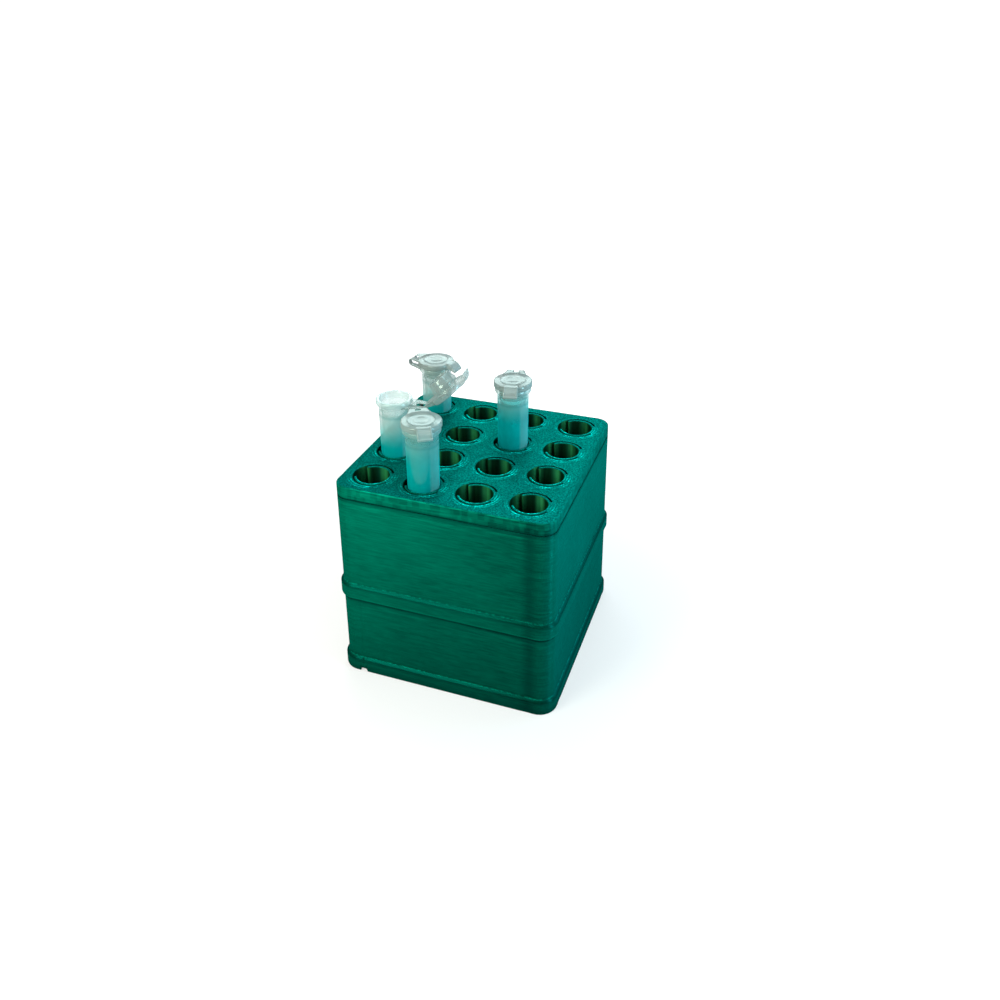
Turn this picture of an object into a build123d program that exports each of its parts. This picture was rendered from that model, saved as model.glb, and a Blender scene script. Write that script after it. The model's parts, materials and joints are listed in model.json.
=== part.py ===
"""A stackable rack for microcentrifuge tubes, with four snap-cap tubes standing in it.

The rack sits on its own storage cover, which has the same footprint and the same skirt.
Units are millimetres, +Z is up, and the origin is the centre of the stack's underside.
+X runs to the right along the front of the rack, and +Y runs towards its back.
"""

import math
import os

from build123d import *

# Rack and cover: one square footprint, with a proud skirt along each unit's lower edge.
PITCH = 18.0
SOCKETS_PER_SIDE = 4
HALF_WIDTH = 37.3
CORNER_RADIUS = 5.3
WALL = 1.6
SKIRT_PROUD = 0.94
SKIRT_HEIGHT = 4.5
SHOULDER_HEIGHT = 1.1
SKIRT_OVERLAP = 4.0
SKIRT_CLEARANCE = 0.15
COVER_HEIGHT = 34.0
COVER_TOP = 3.0
RACK_HEIGHT = 42.4
DECK = 4.0
TOP_EDGE_ROUND = 0.6
GROOVE_DEPTH = 0.2
GROOVE_HEIGHT = 0.4
RACK_BOTTOM = COVER_HEIGHT - SKIRT_OVERLAP
DECK_TOP = RACK_BOTTOM + RACK_HEIGHT

# The cover's one small notch, in the skirt's front lower edge.
NOTCH_CENTRE_X = -29.5
NOTCH_WIDTH = 2.6
NOTCH_HEIGHT = 1.2

# Socket: a sleeve with a springy C-shaped clip that stands on one side of it.
SOCKET_RADIUS = 6.8
SLEEVE_WALL = 1.2
SLEEVE_LENGTH = 28.0
CLIP_RADIUS = 5.4
CLIP_WALL = 0.85
CLIP_ROOT = (-25.0, 28.0)
CLIP_GAP = (133.0, 209.0)

# Tube, measured from the top of its rim on its own axis.
MOUTH_RADIUS = 4.95
THROAT_RADIUS = 4.5
THROAT_DEPTH = 4.8
BORE_RADIUS = 4.35
COLLAR_RADIUS = 6.2
COLLAR_EDGE = 1.5
COLLAR_HEIGHT = 2.2
BODY_TOP_RADIUS = 5.35
BODY_LOW_RADIUS = 5.2
CONE_START = 21.5
CONE_END = 36.5
TIP_RADIUS = 1.9
TIP_WALL = 0.8

# Cap, closed, measured from the same point.
CAP_RADIUS = 6.55
CAP_THICKNESS = 2.0
CAP_GAP = 0.05
CAP_EDGE_ROUND = 0.35
BOSS_RADIUS = 4.6
BOSS_WIDTH = 0.5
BOSS_HEIGHT = 0.3
PLUG_BEAD_RADIUS = 4.77
PLUG_BEAD_DEPTH = 1.3
PLUG_RADIUS = 4.35
PLUG_TIP_RADIUS = 4.0
PLUG_DEPTH = 4.4
PLUG_WALL = 0.8
TAB_WIDTH = 4.8
TAB_REACH = 9.4
TAB_DROP = 0.8
TAB_THICKNESS = 0.8
TAB_START = 6.75

# Living hinge: two straps with a window between them, each in two halves that meet at the fold line.
STRAP_THICKNESS = 0.5
STRAP_WIDTH = 2.6
STRAP_CENTRE = 2.3
STRAP_END_GAP = 0.1


class Fold:
    """Where a hinge folds: how far out from the tube's axis, how far below the rim, and how far each
    strap half lies from that line."""

    def __init__(self, reach, drop, offset):
        self.reach = reach
        self.drop = drop
        self.offset = offset


# The straps of a shut cap are doubled over close to the collar. Those of an open cap are stretched out.
SHUT_FOLD = Fold(reach=9.0, drop=-0.35, offset=1.15)
OPEN_FOLD = Fold(reach=10.4, drop=0.8, offset=1.0)

# One entry per tube: name, column, row, rim height above the deck, heading of the hinge, opening angle.
TUBES = (
    ("front", 1, 0, 20.9, 121.0, 0.0),
    ("left", 0, 1, 19.9, 5.0, 138.0),
    ("right", 2, 2, 21.8, 102.0, 0.0),
    ("back", 0, 3, 17.1, 172.0, 0.0),
)


def slab(half_width, z_low, z_high):
    """A rounded square block whose corners stay concentric with the rack's corners."""
    corner = CORNER_RADIUS + half_width - HALF_WIDTH
    outline = RectangleRounded(2 * half_width, 2 * half_width, corner)
    return extrude(Pos(0, 0, z_low) * outline, z_high - z_low)


def shoulder(z_low):
    """The sloped step from the skirt's outer face back to the wall."""
    skirt_half = HALF_WIDTH + SKIRT_PROUD
    corner = CORNER_RADIUS + SKIRT_PROUD
    slope = math.degrees(math.atan2(SKIRT_PROUD, SHOULDER_HEIGHT))
    outline = RectangleRounded(2 * skirt_half, 2 * skirt_half, corner)
    return extrude(Pos(0, 0, z_low) * outline, SHOULDER_HEIGHT, taper=slope)


def hollow_unit(z_low, z_high, top_thickness):
    """One stacking unit: walls, closed top, open underside, and a skirt that fits over a unit below."""
    walls = slab(HALF_WIDTH, z_low, z_high)
    top_edges = walls.edges().group_by(Axis.Z)[-1]
    walls = fillet(top_edges, TOP_EDGE_ROUND)
    skirt = slab(HALF_WIDTH + SKIRT_PROUD, z_low, z_low + SKIRT_HEIGHT)
    skirt_bore = slab(HALF_WIDTH + SKIRT_CLEARANCE, z_low, z_low + SKIRT_OVERLAP)
    cavity = slab(HALF_WIDTH - WALL, z_low, z_high - top_thickness)
    return walls + skirt + shoulder(z_low + SKIRT_HEIGHT) - skirt_bore - cavity


def storage_cover():
    """The cover, parked under the rack, with the notch in its front lower edge."""
    cover = hollow_unit(0, COVER_HEIGHT, COVER_TOP)
    front_y = -HALF_WIDTH - SKIRT_PROUD / 2
    notch = Pos(NOTCH_CENTRE_X, front_y, 0) * Box(NOTCH_WIDTH, 2 * SKIRT_PROUD, 2 * NOTCH_HEIGHT)
    return cover - notch


def socket_centres():
    """The sixteen socket axes, on a square grid about the rack's centre."""
    middle = (SOCKETS_PER_SIDE - 1) / 2
    steps = [(index - middle) * PITCH for index in range(SOCKETS_PER_SIDE)]
    return [(x, y) for y in steps for x in steps]


def wedge(first, last, reach):
    """A flat sector from the origin, between two headings less than a half turn apart."""
    middle = (first + last) / 2
    corners = [(0, 0)]
    for heading in (first, middle, last):
        turn = math.radians(heading)
        corners.append((reach * math.cos(turn), reach * math.sin(turn)))
    return make_face(Polyline(*corners, close=True))


def clip_plan():
    """The clip from above: a split ring with rounded tips, rooted on the sleeve's +X side."""
    outer = CLIP_RADIUS + CLIP_WALL
    ring = Circle(outer) - Circle(CLIP_RADIUS)
    ring -= wedge(*CLIP_GAP, 2 * outer)
    for heading in CLIP_GAP:
        turn = math.radians(heading)
        reach = CLIP_RADIUS + CLIP_WALL / 2
        ring += Pos(reach * math.cos(turn), reach * math.sin(turn)) * Circle(CLIP_WALL / 2)
    embedded = SOCKET_RADIUS + SLEEVE_WALL / 2
    root = (Circle(embedded) - Circle(CLIP_RADIUS)) & wedge(*CLIP_ROOT, 2 * outer)
    return ring + root


def tube_rack():
    """The rack: a hollow unit with a deck, sixteen sleeves below the deck and a clip in each sleeve."""
    rack = hollow_unit(RACK_BOTTOM, DECK_TOP, DECK)
    groove_top = DECK_TOP - DECK
    groove = slab(HALF_WIDTH + SKIRT_PROUD, groove_top - GROOVE_HEIGHT, groove_top)
    groove -= slab(HALF_WIDTH - GROOVE_DEPTH, groove_top - GROOVE_HEIGHT, groove_top)
    sleeve_low = DECK_TOP - SLEEVE_LENGTH
    sleeve = extrude(Circle(SOCKET_RADIUS + SLEEVE_WALL), SLEEVE_LENGTH - DECK / 2)
    bore = extrude(Circle(SOCKET_RADIUS), SLEEVE_LENGTH)
    clip = extrude(clip_plan(), SLEEVE_LENGTH)
    places = [Pos(x, y, sleeve_low) for x, y in socket_centres()]
    rack = rack - groove + [place * sleeve for place in places]
    rack = rack - [place * bore for place in places]
    return rack + [place * clip for place in places]


def turned(*points):
    """A solid of revolution about Z from an outline in the XZ plane."""
    outline = make_face(Polyline(*[(x, 0, z) for x, z in points], close=True))
    return revolve(outline, Axis.Z)


def tube():
    """A tapered tube with a flared collar at its rim, a cone below and a rounded tip."""
    outside = turned(
        (0, 0),
        (COLLAR_RADIUS, 0),
        (COLLAR_RADIUS, -COLLAR_EDGE),
        (BODY_TOP_RADIUS, -COLLAR_HEIGHT),
        (BODY_LOW_RADIUS, -CONE_START),
        (TIP_RADIUS, -CONE_END),
        (0, -CONE_END),
    )
    outside += Pos(0, 0, -CONE_END) * Sphere(TIP_RADIUS)
    inner_tip = TIP_RADIUS - TIP_WALL
    inside = turned(
        (0, 0),
        (MOUTH_RADIUS, 0),
        (THROAT_RADIUS, -THROAT_DEPTH),
        (BORE_RADIUS, -CONE_START),
        (inner_tip, -CONE_END),
        (0, -CONE_END),
    )
    inside += Pos(0, 0, -CONE_END) * Sphere(inner_tip)
    return outside - inside


def cap_tab():
    """The thumb tab opposite the hinge, which slopes down past the collar."""
    top = CAP_GAP + CAP_THICKNESS
    outline = Polyline(
        (-CAP_RADIUS + 1, 0, top),
        (-CAP_RADIUS + 1, 0, CAP_GAP),
        (-TAB_START, 0, CAP_GAP),
        (-TAB_REACH, 0, -TAB_DROP),
        (-TAB_REACH, 0, -TAB_DROP + TAB_THICKNESS),
        (-TAB_START - TAB_THICKNESS, 0, top),
        close=True,
    )
    return extrude(make_face(outline), TAB_WIDTH / 2, both=True)


def cap():
    """The closed cap: a disc with a raised ring, a hollow sealing plug and the thumb tab."""
    disc = Pos(0, 0, CAP_GAP) * extrude(Circle(CAP_RADIUS), CAP_THICKNESS)
    disc = chamfer(disc.edges().group_by(Axis.Z)[-1], CAP_EDGE_ROUND)
    top = CAP_GAP + CAP_THICKNESS
    ring = Circle(BOSS_RADIUS) - Circle(BOSS_RADIUS - BOSS_WIDTH)
    boss = extrude(Pos(0, 0, top) * ring, BOSS_HEIGHT)
    plug = turned(
        (PLUG_RADIUS - PLUG_WALL, CAP_GAP),
        (PLUG_RADIUS, CAP_GAP),
        (PLUG_BEAD_RADIUS, -PLUG_BEAD_DEPTH),
        (PLUG_RADIUS, -2 * PLUG_BEAD_DEPTH),
        (PLUG_TIP_RADIUS, -PLUG_DEPTH),
        (PLUG_TIP_RADIUS - PLUG_WALL, -PLUG_DEPTH),
    )
    return disc + cap_tab() + boss + plug


def strap_pair(fold, side):
    """Both straps of one half of a shut hinge: side -1 is the half on the tube, +1 the half on the cap."""
    inner_reach = BODY_TOP_RADIUS / 2
    outer_reach = fold.reach - STRAP_END_GAP
    middle = (inner_reach + outer_reach) / 2
    height = -fold.drop + side * fold.offset
    strap = Box(outer_reach - inner_reach, STRAP_WIDTH, STRAP_THICKNESS)
    return [Pos(middle, y, height) * strap for y in (-STRAP_CENTRE, STRAP_CENTRE)]


def tube_straps(fold):
    """The tube's half of the hinge, from the collar to the fold line."""
    core = extrude(Circle(BODY_TOP_RADIUS), 2 * COLLAR_HEIGHT, both=True)
    return Compound([strap - core - tube() for strap in strap_pair(fold, -1)])


def cap_straps(fold):
    """The cap's half of the hinge, from the disc to the fold line."""
    core = extrude(Circle(CAP_RADIUS), 2 * COLLAR_HEIGHT, both=True)
    return Compound([strap - core for strap in strap_pair(fold, 1)])


def opened(shape, fold, angle):
    """A shut cap's piece, swung open about its fold line."""
    line = Pos(fold.reach, 0, -fold.drop)
    return line * Rot(0, angle, 0) * line.inverse() * shape


def write_node(shape, name):
    """Writes one node's solids to its own file."""
    export_step(shape, f"parts/{name}.step")


def write_tube_nodes(name, place, fold, angle):
    """The four nodes of one tube, standing at its place in the rack."""
    write_node(place * tube(), f"{name}_tube")
    write_node(place * tube_straps(fold), f"{name}_tube_strap")
    write_node(place * opened(cap(), fold, angle), f"{name}_cap")
    write_node(place * opened(cap_straps(fold), fold, angle), f"{name}_cap_strap")


def main():
    os.makedirs("parts", exist_ok=True)
    write_node(storage_cover(), "storage_cover")
    write_node(tube_rack(), "tube_rack")
    middle = (SOCKETS_PER_SIDE - 1) / 2
    for name, column, row, rim_height, heading, angle in TUBES:
        axis_x = (column - middle) * PITCH
        axis_y = (row - middle) * PITCH
        place = Pos(axis_x, axis_y, DECK_TOP + rim_height) * Rot(0, 0, heading)
        fold = OPEN_FOLD if angle else SHUT_FOLD
        write_tube_nodes(name, place, fold, angle)


main()
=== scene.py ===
"""The looks of four snap-cap microcentrifuge tubes in a printed rack, which stands on its storage cover.

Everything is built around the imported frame. Meshes are worked out in millimetres and placed in metres.
+X runs to the right along the front of the rack, +Y runs towards its back and +Z is up.
"""

import json
import math
import random
from types import SimpleNamespace

import bmesh
import bpy
from mathutils import Matrix, Vector
from mathutils.geometry import delaunay_2d_cdt


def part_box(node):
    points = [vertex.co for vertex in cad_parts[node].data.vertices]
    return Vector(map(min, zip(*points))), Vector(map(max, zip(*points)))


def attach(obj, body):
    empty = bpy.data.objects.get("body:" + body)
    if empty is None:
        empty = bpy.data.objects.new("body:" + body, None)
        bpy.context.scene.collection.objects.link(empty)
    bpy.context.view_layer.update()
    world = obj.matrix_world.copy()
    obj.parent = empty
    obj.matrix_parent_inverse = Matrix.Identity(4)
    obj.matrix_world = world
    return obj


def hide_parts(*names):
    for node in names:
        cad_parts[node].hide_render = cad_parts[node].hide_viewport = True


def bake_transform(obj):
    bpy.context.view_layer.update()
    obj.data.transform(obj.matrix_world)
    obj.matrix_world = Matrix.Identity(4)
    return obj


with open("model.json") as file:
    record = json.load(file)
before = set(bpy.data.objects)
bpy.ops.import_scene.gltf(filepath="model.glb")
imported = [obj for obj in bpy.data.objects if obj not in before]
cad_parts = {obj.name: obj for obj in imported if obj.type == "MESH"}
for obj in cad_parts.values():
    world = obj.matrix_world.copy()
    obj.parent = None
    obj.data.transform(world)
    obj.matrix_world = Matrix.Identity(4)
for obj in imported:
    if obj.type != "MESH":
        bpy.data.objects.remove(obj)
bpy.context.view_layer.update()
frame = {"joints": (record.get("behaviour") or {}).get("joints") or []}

MM = 0.001
SMALL = 1e-6

# Both printed units: the footprint and heights come from the frame, the rest from how such a rack is printed.
SKIRT_PROUD = 0.94
SKIRT_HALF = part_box("tube_rack")[1].x / MM
HALF_WIDTH = SKIRT_HALF - SKIRT_PROUD
CORNER_RADIUS = 5.3
WALL = 1.6
SKIRT_HEIGHT = 4.5
SHOULDER_HEIGHT = 1.1
SKIRT_OVERLAP = 4.0
SKIRT_CLEARANCE = 0.15
SKIRT_EDGE = 0.45
LEAD_IN = 0.1
COVER_TOP_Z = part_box("storage_cover")[1].z / MM
COVER_TOP = 3.0
RACK_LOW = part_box("tube_rack")[0].z / MM
DECK_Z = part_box("tube_rack")[1].z / MM
DECK = 4.0
TOP_EDGE_ROUND = 0.6
GROOVE_DEPTH = 0.22
GROOVE_HEIGHT = 0.4

# The notch in the cover's skirt, and where its outline has points, as shares of half its width.
NOTCH_X = -29.5
NOTCH_WIDTH = 2.6
NOTCH_HEIGHT = 1.2
NOTCH_SHARES = (0.5, 0.8, 0.96, 1.0, 1.04)

# How the plastic was laid down, and how far each layer strays from the one below.
LAYER = 0.2
CREASE = 0.03
LAYER_WANDER = 0.015
DRIFT_KEPT = 0.7
LINE_WIDTH = 0.45
LINE_DEPTH = 0.07
EDGE_LINES = 2
SOCKET_LINES = 3

# Points along a rounded square: steps round each corner, and distances from a corner along each side.
CORNER_STEPS = 8
SIDE_STEPS = (0.8, 1.6, 2.4, 3.4, 4.8, 7.0, 12.0, 20.0)
RIPPLE = 0.07
RIPPLE_LENGTH = 5.0

# Sockets. The clip's root and the gap between its tips are headings in degrees.
PITCH = 18.0
SOCKETS_PER_SIDE = 4
SOCKET_RADIUS = 6.8
RIM_RADIUS = 8.45
SLEEVE_RADIUS = 8.0
SLEEVE_LENGTH = 28.0
CLIP_RADIUS = 5.4
CLIP_WALL = 0.85
CLIP_SINK = 0.06
CLIP_EDGE = 0.16
CLIP_ROOT = (-25.0, 28.0)
CLIP_GAP = (133.0, 209.0)
BORE_STEPS = 48
ROOT_STEPS = 8
BORE_DEPTHS = 8

# Tubes, measured from the top of the rim.
COLLAR_RADIUS = 6.2
COLLAR_DEPTH = 1.4
BODY_TOP_RADIUS = 5.35
BODY_LOW_RADIUS = 5.2
BORE_RADIUS = 4.35
MOUTH_RADIUS = 5.3
THROAT_RADIUS = 4.6
THROAT_DEPTH = 4.8
CONE_START = 21.5
CONE_END = 36.5
TIP_RADIUS = 1.9
TIP_WALL = 0.8
TUBE_SEGMENTS = 72

# Caps, shut, measured from the same point. The disc has a large and a small ring, and the plug a bead.
CAP_RADIUS = 6.55
CAP_LOW = 0.05
CAP_THICKNESS = 2.0
CAP_WEB = 0.8
BOSS_RADIUS = 4.6
SMALL_RING_RADIUS = 2.25
PLUG_RADIUS = 4.35
PLUG_TIP_RADIUS = 4.06
PLUG_BORE = 3.4
PLUG_LENGTH = 4.4
BEAD_RADIUS = 4.72
BEAD_DEPTH = 1.3
TAB_WIDTH = 4.8
TAB_REACH = 9.4
TAB_DROP = 0.8
TAB_THICKNESS = 0.8
TAB_EDGE = 0.12
RIB_HALF_WIDTH = 0.22
RIB_OFFSET = 2.0
RIB_EDGE = 0.06

# Living hinges: a web with a window across its fold, which widens and thickens towards both roots.
STRAP_THICKNESS = 0.5
STRAP_STEPS = 8
FOLD_STEPS = 14
COLLAR_GAP = 0.15
CAP_LAP = 0.25
WEB_HALF_SPAN = 2.8
WEB_FLARE = 0.5
WINDOW_HALF_SPAN = 0.8
WINDOW_SHARE = 0.36
FOLD_SHARE = 0.35
ROOT_CURVE = 1.3
COLLAR_ROOT = 0.45
SHUT_CAP_ROOT = 0.3
OPEN_CAP_ROOT = 1.3
SHUT_FOLD_RADIUS = 1.15
OPEN_FOLD_RADIUS = 1.0

# Edges sharper than these, in degrees, stay sharp.
PRINTED_SHARP = 35.0
MOULDED_SHARP = 50.0

# Printed plastic: lit copies of one green for the front and back, the sides and the top faces, and an olive
# painted shade for sockets; its sheen; and where painted shine lights a socket, on both flanks of its far
# side.
SIDE_LIT_GREEN = (0.0, 0.152, 0.118, 1.0)
FRONT_LIT_GREEN = (0.0, 0.15, 0.09, 1.0)
TOP_LIT_GREEN = (0.0, 0.128, 0.112, 1.0)
SHADED_SOCKET_OLIVE = (0.012, 0.13, 0.045, 1.0)
EDGE_TINT = (0.0, 1.0, 0.8, 1.0)
SILK = (0.0, 0.8, 0.66, 1.0)
SILK_SHARE = 0.055
FAR_SIDE = math.radians(108)
SHINE_OFFSET = 0.62
SHINE_WIDTH = 0.45

# The marks that the printed material draws: the height of its lines, and how fast they vary along each.
FINE_LINE = 1.5 * LAYER * MM
COARSE_LINE = 3 * LAYER * MM
FINE_ALONG = 160.0
COARSE_ALONG = 60.0
LAYER_SPREAD = 3.71
BLOCK_ALONG = 380.0
SPECKLE = 1700.0

# Polypropylene: its tints where it's clear and where painted green from the rack shows, its milk face-on and
# edge-on.
CLEAR_TINT = (0.94, 0.975, 0.97, 1.0)
PAINTED_GREEN_TINT = (0.2, 0.88, 0.87, 1.0)
PAINTED_GREEN_MILK = (0.0, 0.67, 0.68, 1.0)
RING_GREEN = (0.02, 0.28, 0.29, 1.0)
GLINT = (0.78, 0.98, 0.95, 1.0)
TUBE_MILK_COLOUR = (0.6, 0.75, 0.73, 1.0)
CAP_MILK_COLOUR = (0.42, 0.485, 0.47, 1.0)
TUBE_MILK = (0.37, 0.8)
SHUT_CAP_MILK = (0.68, 0.88)
OPEN_CAP_MILK = (0.42, 0.88)
NECK_DEPTH = 3.4
RING_DEPTH = 5.6

# How far up each tube painted green light from the rack shows, above the deck: where it starts to fade, and
# where it is gone.
PAINTED_GREEN_REACH = {"front": (7.5, 25.0), "left": (2.5, 12.0), "right": (9.0, 21.0), "back": (1.5, 8.0)}

# What the floor adds for the camera, near the rack and far from it, so that it stays pale under soft light.
FLOOR_HALF_WIDTH = 40.0
FLOOR_GREYS = ((0.34, 0.34, 0.34, 1.0), (0.36, 0.36, 0.36, 1.0))
FLOOR_GLOW = (0.6, 1.0)
GLOW_REACH = (0.05, 0.2)

# Lights, and the surround's strength as a light and as the camera sees it.
WARM = (1.0, 0.99, 0.82)
COOL = (0.5, 0.86, 1.0)
BLUE = (0.4, 0.84, 1.0)
WHITE = (0.95, 0.99, 1.0)
SURROUND_COLOUR = (0.97, 0.99, 1.0, 1.0)
SURROUND_LIGHT = 0.22
SURROUND_SEEN = 1.0

# The camera: its place, its turn to the left, its tilt and its roll in degrees, and its lens.
CAMERA_PLACE = Vector((0.10157, -0.26597, DECK_Z * MM + 0.15496))
CAMERA_YAW = 20.13
CAMERA_DOWN = 22.66
CAMERA_ROLL = -0.55
CAMERA_LENS = 33.893
CAMERA_SHIFT = {"x": 0.0101, "y": -0.1473}


def heading(degrees, radius=1.0):
    """The point at that heading and distance from the origin."""
    turn = math.radians(degrees)
    return radius * math.cos(turn), radius * math.sin(turn)


def spread(start, stop, steps):
    """Evenly spaced values from start to stop, both included."""
    return [start + (stop - start) * index / steps for index in range(steps + 1)]


def arc(radius, start, stop, steps, centre=(0.0, 0.0)):
    """Points along an arc between two headings."""
    points = []
    for degrees in spread(start, stop, steps):
        x, y = heading(degrees, radius)
        points.append((centre[0] + x, centre[1] + y))
    return points


class Shell:
    """Points and faces in millimetres, made into one watertight mesh by joining the points that meet."""

    def __init__(self):
        self.points = []
        self.faces = []

    def line(self, outline, z):
        """Adds the points of an outline at one height, or at one height each, and returns their indexes."""
        first = len(self.points)
        heights = z if isinstance(z, (list, tuple)) else [z] * len(outline)
        self.points += [(x, y, height) for (x, y), height in zip(outline, heights)]
        return list(range(first, len(self.points)))

    def strip(self, first, second, closed=True):
        """Quads between two lines of the same number of points."""
        count = len(first)
        for near in range(count if closed else count - 1):
            far = (near + 1) % count
            self.faces.append((first[near], first[far], second[far], second[near]))

    def stack(self, lines, closed=True):
        """Quads between each line and the next."""
        for first, second in zip(lines, lines[1:]):
            self.strip(first, second, closed)

    def fill(self, outline, holes, z, solid):
        """Flat triangles inside an outline, where solid(x, y) says there's plastic."""
        flat = []
        edges = []
        for loop in [outline] + holes:
            first = len(flat)
            flat += [Vector(point) for point in loop]
            edges += [(first + index, first + (index + 1) % len(loop)) for index in range(len(loop))]
        points, _, faces, *_ = delaunay_2d_cdt(flat, edges, [], 1, SMALL)
        base = self.line([tuple(point) for point in points], z)
        for face in faces:
            x, y = (sum(points[corner][axis] for corner in face) / len(face) for axis in (0, 1))
            if solid(x, y):
                self.faces.append([base[corner] for corner in face])

    def make(self, name, place=Matrix.Identity(4)):
        """The finished object, in metres, at its place."""
        mesh = bpy.data.meshes.new(name)
        mesh.from_pydata(self.points, [], self.faces)
        work = bmesh.new()
        work.from_mesh(mesh)
        bmesh.ops.remove_doubles(work, verts=work.verts, dist=0.0005)
        bmesh.ops.dissolve_degenerate(work, edges=work.edges, dist=0.0001)
        bmesh.ops.recalc_face_normals(work, faces=work.faces)
        work.to_mesh(mesh)
        work.free()
        mesh.transform(Matrix.Scale(MM, 4) @ place)
        made = bpy.data.objects.new(name, mesh)
        bpy.context.scene.collection.objects.link(made)
        return made


def shade(piece, degrees):
    """Smooth shading that keeps edges sharper than the angle."""
    limit = math.radians(degrees)
    mesh = piece.data
    mesh.shade_smooth()
    work = bmesh.new()
    work.from_mesh(mesh)
    for edge in work.edges:
        if len(edge.link_faces) == 2 and edge.calc_face_angle(0.0) > limit:
            edge.smooth = False
    work.to_mesh(mesh)
    work.free()


def paint(piece, material):
    """Gives a piece its material."""
    piece.data.materials.clear()
    piece.data.materials.append(material)


def settle(piece, degrees, material, body, node):
    """Shades and paints a piece, and puts it on its body in place of the CAD's plain solid."""
    shade(piece, degrees)
    paint(piece, material)
    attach(piece, body)
    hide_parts(node)


# ---- printed units ----


def side_ripple(distance):
    """How far the wall sinks at that distance from a corner, where the nozzle swung out of the turn."""
    if distance >= RIPPLE_LENGTH:
        return 0.0
    wave = 1 - math.cos(2 * math.pi * distance / RIPPLE_LENGTH)
    return RIPPLE * wave / 2


def square_line(half, extra=()):
    """A rounded square, anticlockwise from its front right corner. extra adds points along the front side."""
    corner = max(CORNER_RADIUS + half - HALF_WIDTH, SMALL)
    straight = half - corner
    quarter = arc(corner, -90, 0, CORNER_STEPS, (straight, -straight))
    from_corner = {step: step for step in SIDE_STEPS}
    from_corner.update({2 * straight - step: step for step in SIDE_STEPS})
    side = [(half - side_ripple(near), way - straight) for way, near in sorted(from_corner.items())]
    front = sorted(side + [(half, x) for x in extra], key=lambda point: point[1])
    points = []
    for turn, run in enumerate((side, side, side, front)):
        for x, y in quarter + run:
            for _ in range(turn):
                x, y = -y, x
            points.append((x, y))
    return points


def layered(low, high, half, wander):
    """A wall's profile from low to high: each printed layer is a rounded bead between two creases."""
    profile = []
    count = max(1, round((high - low) / LAYER))
    drift = 0.0
    for layer in range(count):
        drift = DRIFT_KEPT * drift + wander.uniform(-0.5, 0.5) * LAYER_WANDER
        inset = min(max(drift, -LAYER_WANDER), LAYER_WANDER) + LAYER_WANDER
        base = low + (high - low) * layer / count
        profile.append((half - inset - CREASE, base))
        profile.append((half - inset, base + LAYER / 2))
    return profile


def rounded_edge(half, z, radius, steps=5):
    """The profile of a wall's top edge, from its outer face onto its top."""
    return [
        (half - radius + radius * math.cos(turn), z - radius + radius * math.sin(turn))
        for turn in spread(0, math.pi / 2, steps)
    ]


def skirt_profile(low, wander):
    """The outer face of a unit's skirt and the shoulder above it."""
    top = low + SKIRT_HEIGHT
    profile = [(SKIRT_HALF - SKIRT_EDGE, low), (SKIRT_HALF - SKIRT_EDGE / 3, low + SKIRT_EDGE / 3)]
    profile += layered(low + SKIRT_EDGE, top - LAYER, SKIRT_HALF, wander)
    steps = round(SHOULDER_HEIGHT / LAYER)
    for step in range(steps + 1):
        share = step / steps
        half = SKIRT_HALF - LAYER_WANDER - SKIRT_PROUD * share ** 1.5
        profile.append((half, top + SHOULDER_HEIGHT * share))
    return profile


def top_lines(half, z, count):
    """The lines laid just inside a top face's edge, from the edge inwards."""
    profile = []
    for line in range(count):
        profile.append((half - LINE_WIDTH * line, z - LINE_DEPTH))
        profile.append((half - LINE_WIDTH * (line + 0.5), z))
    return profile


def inner_profile(low, ceiling):
    """The underside of a unit, from the inner wall's top edge down to the skirt's lower edge."""
    bore = HALF_WIDTH + SKIRT_CLEARANCE
    shelf = low + SKIRT_OVERLAP
    inner = HALF_WIDTH - WALL
    mouth = [(bore, low + SKIRT_EDGE / 2), (bore + LEAD_IN, low)]
    return [(inner, ceiling), (inner, shelf), (bore, shelf)] + mouth


def sweep(shell, profile, shape):
    """Adds a closed wall along a profile of half width and height, and returns its lines."""
    lines = [shell.line(*shape(half, z)) for half, z in profile]
    shell.stack(lines)
    return lines


def notched(half, z):
    """A line of the cover, with its lowest part lifted over the notch in the front skirt."""
    shares = [-share for share in NOTCH_SHARES[::-1]] + [0.0] + list(NOTCH_SHARES)
    outline = square_line(half, [NOTCH_X + NOTCH_WIDTH / 2 * share for share in shares])
    keep = max(0.0, 1 - z / SKIRT_OVERLAP)
    heights = []
    for x, y in outline:
        offset = abs(x - NOTCH_X) / (NOTCH_WIDTH / 2)
        lift = 0.0
        if y < 0 and offset < 1:
            lift = NOTCH_HEIGHT * math.sqrt(1 - offset ** 4)
        heights.append(z + lift * keep)
    return outline, heights


def plain(half, z):
    """A line of the rack."""
    return square_line(half), z


def storage_cover(wander):
    """The hollow cover under the rack."""
    shell = Shell()
    wall_low = SKIRT_HEIGHT + SHOULDER_HEIGHT
    wall_high = COVER_TOP_Z - TOP_EDGE_ROUND
    profile = inner_profile(0, COVER_TOP_Z - COVER_TOP)
    profile += skirt_profile(0, wander)
    profile += layered(wall_low + LAYER, wall_high, HALF_WIDTH, wander)
    profile += rounded_edge(HALF_WIDTH - LAYER_WANDER, COVER_TOP_Z, TOP_EDGE_ROUND)
    profile += top_lines(HALF_WIDTH - TOP_EDGE_ROUND - LINE_WIDTH, COVER_TOP_Z, 2 * EDGE_LINES)
    lines = sweep(shell, profile, notched)
    shell.faces.append(lines[0])
    shell.faces.append(lines[-1])
    return shell


def socket_centres():
    """The sixteen socket axes, on a square grid about the rack's centre."""
    middle = (SOCKETS_PER_SIDE - 1) / 2
    steps = [(index - middle) * PITCH for index in range(SOCKETS_PER_SIDE)]
    return [(x, y) for y in steps for x in steps]


def moved(outline, centre):
    """An outline shifted to a socket."""
    return [(x + centre[0], y + centre[1]) for x, y in outline]


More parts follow.
